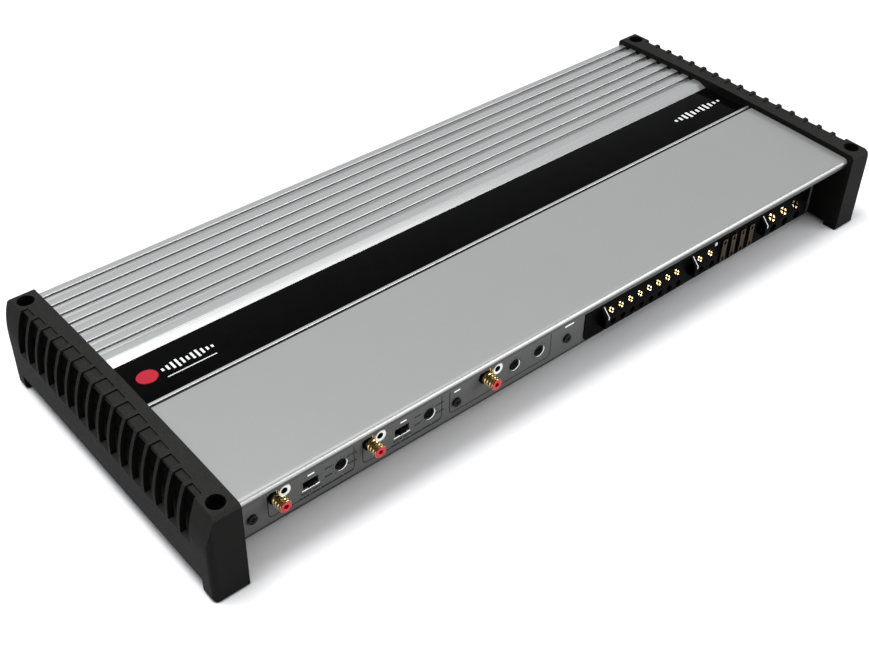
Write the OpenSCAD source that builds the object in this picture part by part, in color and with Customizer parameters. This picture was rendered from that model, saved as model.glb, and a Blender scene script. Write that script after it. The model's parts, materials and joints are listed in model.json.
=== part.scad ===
// Multichannel car amplifier: finned aluminium body, two cast end caps with
// vents and mounting feet, and a connector bay under an overhanging cover.
// Origin: bottom centre. +X is the long axis, -Y the connector side, +Z up.

/* [Overall] */
// Length over both end caps
total_l = 575; // [560:1:600]
// Depth from the connector side to the back
total_d = 233; // [230:1:240]
// Height from the feet to the crown of the caps
total_h = 67.6; // [66:0.2:70]
// How much lower the arched top lies at the front and the back
crown_h = 2.4; // [0:0.1:3]

/* [End caps] */
// Length of one end cap
cap_l = 23; // [21:0.5:26]
// Number of vents in each cap
vent_count = 16; // [8:1:16]
// Distance from vent to vent
vent_pitch = 12.47; // [11:0.01:12.6]
// Width of one vent
vent_w = 9.6; // [6:0.1:10]
// Height of the arch under the cap
arch_h = 12; // [8:0.5:14]

/* [Heat sink] */
// Number of grooves in the top
groove_count = 7; // [3:1:7]
// Distance from groove to groove
groove_pitch = 11.33; // [10:0.01:11.33]
// Depth of a groove
groove_h = 3.3; // [2:0.1:5]
// Height of the aluminium top at its crown
body_top = 63.4; // [62:0.1:64]

/* [Connector bay] */
// Distance of the connector panel's face from the middle
panel_y = 90; // [88:0.5:92]
// Height of the body's underside
body_base = 3.2; // [2:0.1:4]
// Number of speaker terminals
speaker_count = 8; // [2:1:8]
// Number of fuses
fuse_count = 4; // [1:1:4]
// Height of the lower jacks' axes
jack_z = 24; // [22:0.5:26]
// Distance between stacked jacks
jack_rise = 13.5; // [12.7:0.1:14]

/* [Hidden] */
$fn = 48;
eps = 0.01;

// Colours
charcoal = [0.20, 0.21, 0.20];
silver = [0.70, 0.71, 0.70];
black = [0.05, 0.05, 0.05];
gold = [0.85, 0.68, 0.32];
steel = [0.55, 0.56, 0.57];

// Half sizes, and the planes that the parts share
half_l = total_l / 2;
half_d = total_d / 2;
cap_in = half_l - cap_l;
body_half_d = half_d - 1;
wall_in = body_half_d - 6;
plate_t = 1.6;
plate_top = body_base + plate_t;
slab_under = body_top - 10.8;
eave_under = body_top - 7.9;
panel_back = -panel_y + plate_t;
board_base = plate_top + 2.6;
board_top = board_base + 1.6;

// The arched top, as its drop below the crown and as heights of the caps and the body
function drop(y) = crown_h * pow(y / half_d, 2);
function cap_top(y) = total_h - drop(y);
function top_at(y) = body_top - drop(y);

// Draws a Y-Z outline from x0 to x1
module along_x(x0, x1) {
  translate([x0, 0, 0]) rotate([90, 0, 90]) linear_extrude(x1 - x0) children();
}

// Draws an X-Z outline from y0 to y1
module along_y(y0, y1) {
  translate([0, y1, 0]) rotate([90, 0, 0]) linear_extrude(y1 - y0) children();
}

// A box between two corners
module block(lo, hi) {
  translate(lo) cube(hi - lo);
}

// A cylinder along Y, from y0 to y1
module rod_y(x, z, r, y0, y1) {
  translate([x, y1, z]) rotate([90, 0, 0]) cylinder(r = r, h = y1 - y0);
}

// A cylinder along Z, from z0 to z1
module rod_z(x, y, r, z0, z1) {
  translate([x, y, z0]) cylinder(r = r, h = z1 - z0);
}

// A rectangle with round corners, from true circles
module rounded_rect(w, h, r) {
  square([w - 2 * r, h], center = true);
  square([w, h - 2 * r], center = true);
  for (sx = [-1, 1], sy = [-1, 1])
    translate([sx * (w / 2 - r), sy * (h / 2 - r)]) circle(r);
}

// Points of an arc about a centre, from angle a0 to a1
function arc(cx, cy, r, a0, a1, n) =
  [for (i = [0:n]) let (a = a0 + (a1 - a0) * i / n) [cx + r * cos(a), cy + r * sin(a)]];

// ---------------------------------------------------------------- end caps
bulge_r = 72;
bulge_z = 36;
bulge_x = half_l - bulge_r;
foot_l = 11.2;
foot_r = 4;
hole_x = half_l - 13.4;
hole_y = half_d - 9.6;
hole_r = 2.6;
sink_r = 5.5;
boss_r = 6.6;
sink_floor = 8;
cap_wall = 3;
vent_z0 = 34.7;
vent_z1 = 57;
recess_h = 1.2;
recess_t = 1.8;
cavity_roof = 58.6;
vent_span = (vent_count - 1) * vent_pitch;
vent_mid = 0.6;
end_screw_z = 48.5;
end_screw_vents = [0, 7, 14];

function vent_y(i) = vent_mid + vent_span / 2 - i * vent_pitch;
// The pockets reach further in at the middle of the cap than at its ends
function vent_in(i) = half_l - 11 - 5.2 * (1 - pow(vent_y(i) / (vent_span / 2), 2));
function bulge_at(z, r) = bulge_x + sqrt(r * r - pow(z - bulge_z, 2));
function bulge_angle(z, r) = asin((z - bulge_z) / r);

// Outer profile of a cap in X-Z: bulged over the vents, upright below
module cap_profile() {
  polygon(concat(
    [[cap_in, 0], [cap_in, total_h]],
    arc(bulge_x, bulge_z, bulge_r, bulge_angle(total_h, bulge_r), 0, 10),
    arc(half_l - foot_r, foot_r, foot_r, 0, -90, 6)
  ));
}

// Side view of a cap in Y-Z: the arched top with its two corners eased
cap_ease = 2;
cap_top_y = [for (k = [-6:6]) k * (half_d - cap_ease) / 6];
module cap_side() {
  corner = cap_top(half_d) - cap_ease;
  polygon(concat(
    [[half_d, corner], [half_d, 1.2], [half_d - 1.2, 0], [-half_d + 1.2, 0], [-half_d, 1.2], [-half_d, corner]],
    [for (y = cap_top_y) [y, cap_top(y)]]
  ));
}

// What a pocket takes off between two ribs: a shallow step over the edge
module pocket_profile(x_in, z_top) {
  r = bulge_r - recess_t;
  polygon(concat(
    [[x_in, total_h + 1], [x_in, z_top]],
    arc(bulge_x, bulge_z, r, bulge_angle(z_top, r), bulge_angle(vent_z1 - eps, r), 4),
    [[half_l + 1, vent_z1 - eps], [half_l + 1, total_h + 1]]
  ));
}

// The hollow behind the vents
module cavity_profile() {
  x_in = cap_in + cap_wall;
  r = bulge_r - 4;
  polygon(concat(
    [[x_in, 30], [x_in, cavity_roof]],
    arc(bulge_x, bulge_z, r, bulge_angle(cavity_roof, r), bulge_angle(30, r), 6)
  ));
}

module right_cap() {
  difference() {
    intersection() {
      along_y(-half_d, half_d) cap_profile();
      translate([cap_in - 20 + (cap_l + 20) / 2, 0, 0])
        linear_extrude(total_h) rounded_rect(cap_l + 20, total_d, 4.5);
      along_x(cap_in, half_l) cap_side();
    }
    // the arch, with a round boss left at each mounting hole
    difference() {
      block([cap_in + cap_wall, -half_d + foot_l, -1], [half_l + 1, half_d - foot_l, arch_h]);
      for (s = [-1, 1]) rod_z(hole_x, s * hole_y, boss_r, -2, arch_h + 1);
    }
    block([cap_in - 1, -half_d + foot_l, -1], [cap_in + cap_wall + eps, half_d - foot_l, body_base]);
    for (s = [-1, 1]) {
      rod_z(hole_x, s * hole_y, hole_r, -1, total_h + 1);
      rod_z(hole_x, s * hole_y, sink_r, sink_floor, total_h + 1);
    }
    along_y(-half_d + 18, half_d - 18) cavity_profile();
    for (i = [0:vent_count - 1]) {
      y0 = vent_y(i) - vent_w / 2;
      along_y(y0, y0 + vent_w) pocket_profile(vent_in(i), cap_top(vent_y(i)) - recess_h);
      block([cap_in + cap_wall, y0, vent_z0], [half_l + 1, y0 + vent_w, vent_z1]);
    }
    for (i = end_screw_vents) translate([cap_in - 1, vent_y(i), end_screw_z])
      rotate([0, 90, 0]) cylinder(r = 2.1, h = cap_wall + 2);
  }
}

module right_end_cap() {
  color(charcoal) right_cap();
}

module left_end_cap() {
  color(charcoal) mirror([1, 0, 0]) right_cap();
}

// A pan-head screw along +Z with its head's seat at z = 0
module pan_screw(r_head, h_head, r_shank, l_shank) {
  difference() {
    cylinder(r = r_head, h = h_head);
    for (a = [0, 90]) rotate([0, 0, a])
      translate([-r_head * 0.6, -r_head * 0.13, h_head * 0.45]) cube([r_head * 1.2, r_head * 0.26, h_head]);
  }
  translate([0, 0, -l_shank]) cylinder(r = r_shank, h = l_shank + eps);
}

module end_cap_screws() {
  color(steel) for (s = [0, 1]) mirror([s, 0, 0])
    for (i = end_screw_vents) translate([cap_in + cap_wall, vent_y(i), end_screw_z])
      rotate([0, 90, 0]) pan_screw(3.6, 2.2, 1.5, 18);
}

// ------------------------------------------------------------- heat sink
first_groove = body_half_d - 6.8;
groove_w = 5.1;
groove_step = 1.9;
land_y = 29.4;
strip_y0 = -17.5;
strip_y1 = 22.8;
strip_z = body_top - 2.7;
strip_t = 1.2;
bead_y0 = -20.3;
bead_y1 = -18.2;
cover_y1 = -22.2;
cover_t = 3;
back_groove_z = [46, 36, 26];

function groove_y(i) = first_groove - i * groove_pitch;

// Top outline from the back to the land. A groove starts at the front edge of one
// crest, drops in a step, and slopes down to the back of the next crest.
function groove_points(y) = let (z = top_at(y)) [
  [y, z],
  [y - 0.1, z - groove_step],
  [y - groove_w, z - groove_h],
  [y - groove_w, top_at(y - groove_w)]
];

// The cover's outline from back to front, and how far it reaches
nose_y = -half_d + 4.1;
nose_r = 3;
cover_line_y = [for (k = [0:5]) cover_y1 + k * (nose_y + nose_r - cover_y1) / 5];

// The body's cross-section in Y-Z
module heatsink_profile() {
  difference() {
    polygon(concat(
      [[wall_in, plate_top], [body_half_d, plate_top]],
      [[body_half_d, top_at(body_half_d) - 2.2], [body_half_d - 2.2, top_at(body_half_d - 2.2)]],
      [for (i = [0:groove_count - 1]) each groove_points(groove_y(i))],
      [
        [land_y, top_at(land_y)], [strip_y1, strip_z], [strip_y1, strip_z - strip_t],
        [bead_y1, strip_z - strip_t], [bead_y1, body_top - 0.4], [bead_y1 - 0.5, body_top],
        [bead_y0 + 0.5, body_top], [bead_y0, body_top - 0.4], [bead_y0, top_at(cover_y1) - cover_t]
      ],
      [for (y = cover_line_y) [y, top_at(y) - cover_t]],
      [
        [nose_y + nose_r, eave_under],
        [panel_back + 0.1, eave_under], [panel_back + 0.1, slab_under], [wall_in, slab_under]
      ]
    ));
    for (z = back_groove_z) polygon([
      [body_half_d + 1, z - 3.2], [body_half_d, z - 2.8], [body_half_d - 3, z - 0.8],
      [body_half_d - 3, z + 0.8], [body_half_d, z + 2.8], [body_half_d + 1, z + 3.2]
    ]);
  }
  // a lip that holds the panel's top edge
  translate([-panel_y - 1.4, eave_under - 1.5]) square([1.2, 1.5 + eps]);
  // channels for the end caps' screws
  for (i = end_screw_vents) {
    translate([vent_y(i) - 3.2, end_screw_z]) square([6.4, slab_under - end_screw_z + eps]);
    translate([vent_y(i), end_screw_z]) circle(4.2);
  }
}

bottom_screw_x = [-236, -118, 0, 118, 236];
back_screw_y = body_half_d - 3;
flange_screw_y = -82;

module heatsink() {
  color(silver) difference() {
    along_x(-cap_in, cap_in) heatsink_profile();
    for (i = end_screw_vents) translate([-cap_in - 1, vent_y(i), end_screw_z])
      rotate([0, 90, 0]) cylinder(r = 1.6, h = 2 * cap_in + 2);
    for (x = bottom_screw_x) rod_z(x, back_screw_y, 1.35, plate_top - 1, plate_top + 9);
    for (x = clamp_screw_x) rod_y(x, clamp_z, 1.3, wall_in - 1, wall_in + 2.6);
  }
}

module trim_strip() {
  color([0.03, 0.03, 0.03]) difference() {
    block([-cap_in + 0.3, strip_y0 - 0.5, strip_z - strip_t], [cap_in - 0.3, strip_y1 - 0.1, strip_z]);
    rod_z(badge_x, badge_y, badge_r + 0.1, strip_z - 0.4, strip_z + 1);
  }
}

badge_x = -249.9;
badge_y = 4.0;
badge_r = 6.5;

module trim_badge() {
  color([0.70, 0.10, 0.10]) rod_z(badge_x, badge_y, badge_r, strip_z - 0.4, strip_z + 0.5);
}

// Front cover: a flat plate with a rounded nose that hides the eave
module top_cover() {
  y_lip = nose_y + nose_r - 0.05;
  color(silver) along_x(-cap_in + 0.2, cap_in - 0.2) polygon(concat(
    [[y_lip, eave_under], [y_lip, top_at(nose_y + nose_r) - cover_t]],
    [for (k = [5:-1:0]) [cover_line_y[k], top_at(cover_line_y[k]) - cover_t]],
    [for (k = [0:4]) [cover_line_y[k], top_at(cover_line_y[k])]],
    arc(nose_y + nose_r, top_at(nose_y + nose_r) - nose_r, nose_r, 90, 180, 8),
    [[nose_y, eave_under + 0.4], [nose_y + 0.4, eave_under]]
  ));
}

// -------------------------------------------------------------- casework
module bottom_plate() {
  color(charcoal) difference() {
    block([-cap_in + 0.2, panel_back - 1.6, body_base], [cap_in - 0.2, body_half_d, plate_top]);
    for (x = bottom_screw_x, y = [back_screw_y, flange_screw_y]) {
      rod_z(x, y, 1.7, body_base - 1, plate_top + 1);
      rod_z(x, y, 3.1, body_base - 1, body_base + 0.8);
    }
    for (x = standoff_x, y = standoff_y) rod_z(x, y, 1.7, body_base - 1, plate_top + 1);
  }
}

module bottom_screws() {
  color(steel) for (x = bottom_screw_x, y = [back_screw_y, flange_screw_y])
    translate([x, y, body_base + 0.8]) rotate([180, 0, 0]) pan_screw(2.9, 0.7, 1.25, y > 0 ? 7 : 2.6);
}

// Positions of what shows on the connector panel
jack_x = [-228, -160.5, -68.5];
switch_x = [-203.6, -135.8];
switch_z = 18.6;
crossover_x = [-181.9, -114.5];
bass_x = [-43.5, -21.8];
pot_z = 19.2;
level_x = [-192.7, -125.1, -32.6];
level_z = 41;
pot_places = concat(
  [for (x = crossover_x) [x, pot_z]],
  [for (x = bass_x) [x, pot_z]],
  [for (x = level_x) [x, level_z]]
);
panel_screw_x = [-244.5, -92.5, 3.7, 254];
panel_screw_z = 16.4;
knob_r = 3.9;
knob_hole_r = 4.3;
knob_face = -panel_y + 0.8;
jack_r = 4.15;
jack_hole_r = 5.3;
tail_r = 3.85;
insert_r = 3.25;

plate_x0 = 20;
plate_x1 = 260;
label_t = 0.8;
plate_face = -panel_y - label_t;

led_x = 151.3;
led_z = 25.3;

// Terminal blocks: [first screw, pitch, count, port radius, screw radius, x0, x1]
speaker_block = [41.5, 9.33, speaker_count, 2.4, 2.4, 34.4, 113.6];
sub_block = [131, 11, 2, 2.4, 2.4, 124.2, 148];
power_block = [211.3, 13.6, 3, 3.3, 3.6, 201.8, 248.3];
terminal_z0 = 11.5;
terminal_z1 = 26;
terminal_deep = 5.6;
terminal_face = plate_face - terminal_deep;
port_z = 15.6;
cage_z0 = 12;
cage_y0 = plate_face - 0.6;
cage_y1 = -78;
block_back = -73;
seat_y = plate_face - 2.8;
seat_z = terminal_z1 - 2.8;

fuse_pitch = 10.05;
fuse_x0 = 159.2;
fuse_z = 17;
holder_x0 = fuse_x0 - 5.6;
holder_x1 = fuse_x0 + (fuse_count - 1) * fuse_pitch + 5.6;
holder_z0 = plate_top + 0.3;
holder_z1 = 29;

module block_cutout(b) {
  block([b[5] + 1.8, -panel_y - 2, terminal_z0 + 0.2], [b[6] - 1.8, panel_back + 1, terminal_z1 - 0.4]);
}

module panel_cutouts() {
  for (x = jack_x, k = [0, 1]) rod_y(x, jack_z + k * jack_rise, jack_hole_r, -panel_y - 2, panel_back + 1);
  for (p = pot_places) rod_y(p[0], p[1], knob_hole_r, -panel_y - 2, panel_back + 1);
  for (x = switch_x) block([x - 5.5, -panel_y - 2, switch_z - 2.75], [x + 5.5, panel_back + 1, switch_z + 2.75]);
  for (x = panel_screw_x) rod_y(x, panel_screw_z, 1.7, -panel_y - 2, panel_back + 1);
  block_cutout(speaker_block);
  block_cutout(sub_block);
  block_cutout(power_block);
  block([holder_x0 + 1.2, -panel_y - 2, holder_z0 + 0.5], [holder_x1 - 1.2, panel_back + 1, holder_z1 - 1.2]);
  rod_y(led_x, led_z, 1.6, -panel_y - 2, panel_back + 1);
}

module connector_panel() {
  color([0.33, 0.34, 0.33]) difference() {
    union() {
      block([-cap_in + 0.2, -panel_y, plate_top], [cap_in - 0.2, panel_back, eave_under - 0.05]);
      for (x = bottom_screw_x)
        block([x - 9, panel_back - eps, plate_top], [x + 9, flange_screw_y + 6, plate_top + plate_t]);
    }
    panel_cutouts();
    for (x = bottom_screw_x) rod_z(x, flange_screw_y, 1.35, plate_top - 1, plate_top + 3);
  }
}

// Black label plate behind the terminals
module terminal_plate() {
  color(black) difference() {
    along_y(plate_face, -panel_y)
      translate([(plate_x0 + plate_x1) / 2, (plate_top + eave_under - 1.6) / 2])
        rounded_rect(plate_x1 - plate_x0, eave_under - 1.8 - plate_top, 4);
    panel_cutouts();
  }
}

module panel_screws() {
  color(steel) for (x = panel_screw_x)
    translate([x, x > plate_x0 ? plate_face : -panel_y, panel_screw_z])
      rotate([90, 0, 0]) pan_screw(3.2, 1.6, 1.5, 7);
}

// Posts on the board that the panel is screwed to
module panel_brackets() {
  color(silver) for (x = panel_screw_x) difference() {
    block([x - 4, panel_back, board_top], [x + 4, panel_back + 9, panel_screw_z + 4]);
    rod_y(x, panel_screw_z, 1.6, panel_back - 1, panel_back + 10);
  }
}

// ------------------------------------------------------------------ jacks
module rca_housings() {
  z1 = jack_z + jack_rise;
  color(black) for (x = jack_x) difference() {
    union() {
      block([x - 6.6, panel_back + 0.05, board_top], [x + 6.6, -76, z1 + 6.6]);
      for (z = [jack_z, z1]) rod_y(x, z, 5.2, -panel_y - 1.2, panel_back + 1);
    }
    for (z = [jack_z, z1]) rod_y(x, z, tail_r + 0.05, -panel_y - 2, -84);
  }
}

// Each shell is a sleeve with a thinner tail inside its housing
module rca_shells() {
  color(gold) for (x = jack_x, k = [0, 1]) difference() {
    z = jack_z + k * jack_rise;
    union() {
      rod_y(x, z, jack_r, -panel_y - 10.5, -panel_y - 1.25);
      rod_y(x, z, tail_r, -panel_y - 2, -84.2);
    }
    rod_y(x, z, insert_r + 0.05, -panel_y - 11, -83);
  }
}

// The insert's thin flange covers the end of its shell
module rca_insert(x, z) {
  difference() {
    union() {
      rod_y(x, z, insert_r, -panel_y - 10.7, -84.4);
      rod_y(x, z, 3.9, -panel_y - 11, -panel_y - 10.55);
    }
    rod_y(x, z, 1.65, -panel_y - 12, -87);
  }
}

module rca_red_inserts() {
  color([0.78, 0.12, 0.16]) for (x = jack_x) rca_insert(x, jack_z);
}

module rca_white_inserts() {
  color([0.90, 0.90, 0.88]) for (x = jack_x) rca_insert(x, jack_z + jack_rise);
}

// --------------------------------------------------------------- controls
slider_w = 5;
slider_h = 4.4;
slider_travel = 2;

module switch_bodies() {
  color(black) for (x = switch_x) difference() {
    block([x - 7.5, panel_back + 0.05, board_top], [x + 7.5, panel_back + 7, switch_z + 4]);
    block([x - 5, panel_back - 1, switch_z - 2.5], [x + 5, panel_back + 3, switch_z + 2.5]);
  }
}

module switch_slider(i) {
  x = switch_x[i];
  color([0.12, 0.12, 0.12]) difference() {
    block([x - slider_w / 2, -panel_y - 1.4, switch_z - slider_h / 2],
      [x + slider_w / 2, panel_back + 2.7, switch_z + slider_h / 2]);
    for (k = [-1, 0, 1]) block([x + k * 1.3 - 0.3, -panel_y - 2, switch_z - 3],
      [x + k * 1.3 + 0.3, -panel_y - 0.9, switch_z + 3]);
  }
}

module switch_slider_1() {
  switch_slider(0);
}

module switch_slider_2() {
  switch_slider(1);
}

// The pots stand on the board; each has a round well that its knob turns in
module pot_bodies() {
  color([0.10, 0.12, 0.18]) for (p = pot_places) difference() {
    union() {
      block([p[0] - 5.2, panel_back + 1.6, p[1] - 5.2], [p[0] + 5.2, panel_back + 10, p[1] + 3]);
      block([p[0] - 2.4, panel_back + 3, board_top], [p[0] + 2.4, panel_back + 9, p[1] - 5.2 + eps]);
    }
    rod_y(p[0], p[1], 1.95, panel_back - 1, panel_back + 7.5);
  }
}

// Knob with a driver slot and a pointer notch; its shaft turns in the pot
module pot_knob(p) {
  color([0.07, 0.07, 0.07]) difference() {
    union() {
      rod_y(p[0], p[1], knob_r, knob_face, panel_back + 1.5);
      rod_y(p[0], p[1], 1.9, panel_back + 1, panel_back + 7.2);
    }
    block([p[0] - 2.9, knob_face - 1, p[1] - 0.45], [p[0] + 2.9, knob_face + 0.9, p[1] + 0.45]);
    block([p[0] - 0.35, knob_face - 1, p[1] + 2.2], [p[0] + 0.35, knob_face + 0.5, p[1] + 5]);
  }
}

module crossover_knob_1() {
  pot_knob([crossover_x[0], pot_z]);
}

module crossover_knob_2() {
  pot_knob([crossover_x[1], pot_z]);
}

module bass_knob_1() {
  pot_knob([bass_x[0], pot_z]);
}

module bass_knob_2() {
  pot_knob([bass_x[1], pot_z]);
}

module level_knob_1() {
  pot_knob([level_x[0], level_z]);
}

module level_knob_2() {
  pot_knob([level_x[1], level_z]);
}

module level_knob_3() {
  pot_knob([level_x[2], level_z]);
}

// -------------------------------------------------------------- terminals
function terminal_x(b, i) = b[0] + i * b[1];

// Places its children at a screw's seat on the slope, +Z along the slope's normal
module on_slope(x) {
  translate([x, seat_y, seat_z]) rotate([45, 0, 0]) children();
}

module terminal_block(b) {
  cage_w = b[4] + 1;
  color(black) difference() {
    union() {
      along_x(b[5], b[6]) polygon([
        [plate_face, terminal_z0], [plate_face, terminal_z1],
        [terminal_face, terminal_z1 - terminal_deep], [terminal_face, terminal_z0]
      ]);
      block([b[5] + 2, plate_face - eps, terminal_z0 + 0.4], [b[6] - 2, block_back, terminal_z1 - 0.6]);
      block([b[5] + 2, panel_back + 0.3, board_top + 0.02], [b[6] - 2, block_back, terminal_z0 + 1]);
    }
    for (i = [0:b[2] - 1]) {
      x = terminal_x(b, i);
      rod_y(x, port_z, b[3], terminal_face - 1, cage_y0 + eps);
      block([x - cage_w, cage_y0, cage_z0], [x + cage_w, cage_y1, port_z + b[3] + 1.6]);
      on_slope(x) translate([0, 0, -2]) cylinder(r = b[4] + 0.2, h = 8);
      on_slope(x) translate([0, 0, -10]) cylinder(r = b[4] * 0.35 + 0.2, h = 10);
    }
  }
}

module speaker_terminal_block() {
  terminal_block(speaker_block);
}

module sub_terminal_block() {
  terminal_block(sub_block);
}

module power_terminal_block() {
  terminal_block(power_block);
}

// Clamp cages: a wire goes in along Y and the screw comes down on it
module terminal_cages(b) {
  cage_w = b[4] + 0.85;
  color(gold) for (i = [0:b[2] - 1]) difference() {
    x = terminal_x(b, i);
    block([x - cage_w, cage_y0 + 0.1, cage_z0 + 0.1], [x + cage_w, cage_y1 - 0.1, port_z + b[3] + 1.5]);
    rod_y(x, port_z, b[3] - 0.5, cage_y0 - 1, cage_y1 + 1);
    on_slope(x) translate([0, 0, -12]) cylinder(r = b[4] * 0.35 + 0.05, h = 12);
  }
}

module speaker_terminal_cages() {
  terminal_cages(speaker_block);
}

module sub_terminal_cages() {
  terminal_cages(sub_block);
}

module power_terminal_cages() {
  terminal_cages(power_block);
}

// A terminal screw: flush cylinder head with a crossed recess
module terminal_screws(b) {
  r = b[4];
  color(gold) for (i = [0:b[2] - 1]) on_slope(terminal_x(b, i)) {
    difference() {
      translate([0, 0, -1.9]) cylinder(r = r, h = 2.1);
      for (a = [45, 135]) rotate([0, 0, a]) translate([-r * 0.75, -r * 0.14, -1]) cube([r * 1.5, r * 0.28, 2]);
    }
    translate([0, 0, -9.5]) cylinder(r = r * 0.35, h = 7.7);
  }
}

module speaker_terminal_screws() {
  terminal_screws(speaker_block);
}

module sub_terminal_screws() {
  terminal_screws(sub_block);
}

module power_terminal_screws() {
  terminal_screws(power_block);
}

module led_lens() {
  color([0.75, 0.80, 0.95]) {
    rod_y(led_x, led_z, 1.5, plate_face - 0.6, panel_back + 3);
    rod_y(led_x, led_z, 1.95, panel_back + 0.3, panel_back + 1.3);
  }
}

// ------------------------------------------------------------------ fuses
fuse_w = 5.1;
fuse_h = 19.1;
fuse_face = plate_face - 2.4;
fuse_seat = fuse_face + 12;
blade_l = 8;
blade_t = 0.65;
blade_h = 5.2;
blade_off = 6.9;
holder_face = plate_face - 0.6;

function fuse_x(i) = fuse_x0 + i * fuse_pitch;

module fuse_holder() {
  color([0.06, 0.06, 0.06]) difference() {
    union() {
      block([holder_x0, holder_face, holder_z0], [holder_x1, plate_face, holder_z1]);
      block([holder_x0 + 1.4, plate_face - eps, holder_z0 + 0.7], [holder_x1 - 1.4, -69, holder_z1 - 1.4]);
    }
    for (i = [0:fuse_count - 1]) {
      block([fuse_x(i) - fuse_w / 2 - 0.35, holder_face - 1, fuse_z - fuse_h / 2 - 0.35],
        [fuse_x(i) + fuse_w / 2 + 0.35, fuse_seat + 0.4, fuse_z + fuse_h / 2 + 0.35]);
      for (s = [-1, 1]) block([fuse_x(i) - 1.5, fuse_seat, fuse_z + s * blade_off - 3.2],
        [fuse_x(i) + 1.5, -68, fuse_z + s * blade_off + 3.2]);
    }
  }
}

// Forked spring contacts that take the fuse blades
module fuse_clips() {
  color(gold) for (i = [0:fuse_count - 1], s = [-1, 1]) difference() {
    block([fuse_x(i) - 1.3, fuse_seat + 1.4, fuse_z + s * blade_off - 2.2],
      [fuse_x(i) + 1.3, -66, fuse_z + s * blade_off + 2.2]);
    block([fuse_x(i) - 0.65, fuse_seat, fuse_z + s * blade_off - 3],
      [fuse_x(i) + 0.65, -70.4, fuse_z + s * blade_off + 3]);
  }
}

// Moulded fuse body: a head with two test windows on a narrower waist
module fuse_body(i) {
  x = fuse_x(i);
  color([0.75, 0.50, 0.12]) difference() {
    block([x - fuse_w / 2, fuse_face, fuse_z - fuse_h / 2], [x + fuse_w / 2, fuse_seat, fuse_z + fuse_h / 2]);
    for (s = [-1, 1]) {
      block([x - 1.1, fuse_face - 1, fuse_z + s * blade_off - 1.6], [x + 1.1, fuse_face + 1.6, fuse_z + s * blade_off + 1.6]);
      block([x + s * (fuse_w / 2 - 0.7) - 0.8, fuse_face + 4, fuse_z - 3.2],
        [x + s * (fuse_w / 2 - 0.7) + 0.8, fuse_seat + 1, fuse_z + 3.2]);
      block([x - blade_t / 2 - 0.02, fuse_face + 1.5, fuse_z + s * blade_off - blade_h / 2 - 0.02],
        [x + blade_t / 2 + 0.02, fuse_seat + 1, fuse_z + s * blade_off + blade_h / 2 + 0.02]);
    }
  }
}

module fuse_blades(i) {
  x = fuse_x(i);
  color(steel) for (s = [-1, 1])
    block([x - blade_t / 2, fuse_face + 1.6, fuse_z + s * blade_off - blade_h / 2],
      [x + blade_t / 2, fuse_seat + blade_l, fuse_z + s * blade_off + blade_h / 2]);
}

module fuse_body_1() {
  fuse_body(0);
}

module fuse_body_2() {
  fuse_body(1);
}

module fuse_body_3() {
  fuse_body(2);
}

module fuse_body_4() {
  fuse_body(3);
}

module fuse_blades_1() {
  fuse_blades(0);
}

module fuse_blades_2() {
  fuse_blades(1);
}

module fuse_blades_3() {
  fuse_blades(2);
}

module fuse_blades_4() {
  fuse_blades(3);
}

// --------------------------------------------------------------- inside
standoff_x = [-245, -90, 90, 245];
standoff_y = [-62, 60];
board_y0 = panel_back + 0.4;
board_y1 = wall_in - 1;

module main_board() {
  color([0.08, 0.30, 0.14]) difference() {
    block([-cap_in + 6, board_y0, board_base], [cap_in - 6, board_y1, board_top]);
    for (x = standoff_x, y = standoff_y) rod_z(x, y, 1.7, board_base - 1, board_top + 1);
    for (x = bottom_screw_x) block([x - 10, board_y0 - 1, board_base - 1], [x + 10, board_y0 + 14, board_base + 0.7]);
    block([holder_x0, board_y0 - 1, board_base - 1], [holder_x1, -65, board_top + 1]);
  }
}

module board_standoffs() {
  color(gold) for (x = standoff_x, y = standoff_y) difference() {
    rod_z(x, y, 3, plate_top, board_base);
    rod_z(x, y, 1.6, plate_top - 1, board_base + 1);
  }
}

module board_screws() {
  color(steel) for (x = standoff_x, y = standoff_y)
    translate([x, y, board_top]) pan_screw(2.9, 1.8, 1.5, 5);
}

toroid_places = [[-30, 28], [70, 28]];
toroid_r = 25;
toroid_h = 24;

module toroid_windings() {
  color([0.62, 0.33, 0.14]) for (p = toroid_places) translate([p[0], p[1], board_top])
    rotate_extrude() translate([(toroid_r + 9) / 2, toroid_h / 2]) rounded_rect(toroid_r - 9, toroid_h, 5);
}

module toroid_clamps() {
  color([0.10, 0.10, 0.10]) for (p = toroid_places) translate([p[0], p[1], board_top]) {
    cylinder(r = 8.6, h = toroid_h + 0.1);
    translate([0, 0, toroid_h + 0.1]) cylinder(r = 15, h = 2);
  }
}

capacitor_places = concat(
  [for (i = [0:3]) [125 + i * 24, -38]],
  [for (i = [0:3]) [125 + i * 24, -10]],
  [for (i = [0:5]) [-215 + i * 24, 28]]
);

module bulk_capacitors() {
  color([0.10, 0.13, 0.28]) for (p = capacitor_places) {
    rod_z(p[0], p[1], 9, board_top, board_top + 32);
    rod_z(p[0], p[1], 8.2, board_top + 31, board_top + 32.6);
  }
}

coil_places = [for (i = [0:3]) [20 + i * 24, -44]];

module filter_coils() {
  color([0.66, 0.38, 0.16]) for (p = coil_places) translate([p[0], p[1], board_top])
    rotate_extrude() translate([7.5, 6]) rounded_rect(7, 12, 3);
}

transistor_count = 18;
transistor_pitch = 26;
clamp_z = 33;
clamp_screw_x = [for (i = [-4:4]) i * 2 * transistor_pitch];

function transistor_x(i) = (i - (transistor_count - 1) / 2) * transistor_pitch;

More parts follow.
